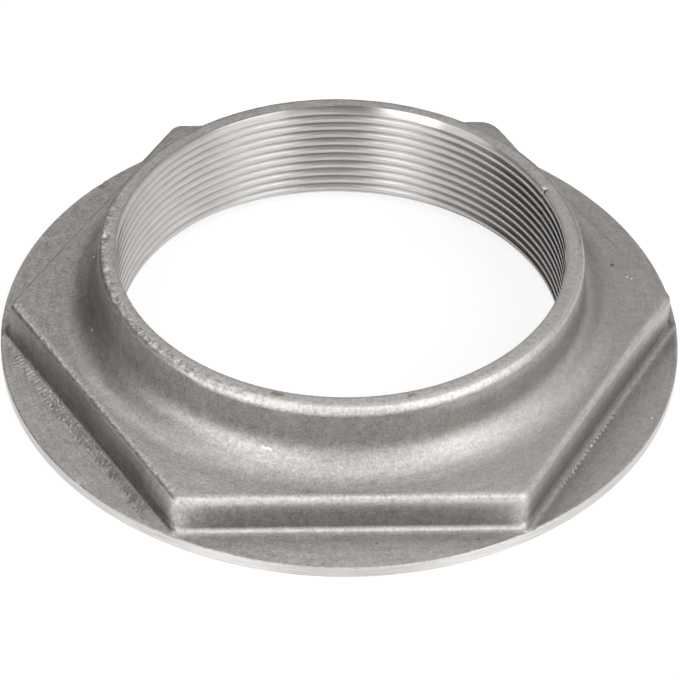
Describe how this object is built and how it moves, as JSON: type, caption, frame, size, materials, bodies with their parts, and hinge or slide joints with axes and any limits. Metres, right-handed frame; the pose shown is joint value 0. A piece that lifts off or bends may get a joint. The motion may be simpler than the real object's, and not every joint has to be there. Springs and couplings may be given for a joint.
{
  "type": "hub nut",
  "caption": "Thin flanged hub nut with a low spanner hexagon and a tall round collar that holds a wide, fine left-hand thread.",
  "frame": {"origin": "middle of the flange's underside, on the thread axis", "axes": "+Z along the thread axis, from the flange towards the collar; two flats of the hexagon are square to Y, and two of its corners lie on X"},
  "size_m": [0.0508, 0.0508, 0.0092],
  "materials": {
    "cast_metal": "blasted casting skin, with a bright turned thread and rim"
  },
  "bodies": {
    "root": {"hub_nut": "cast_metal"}
  },
  "joints": []
}
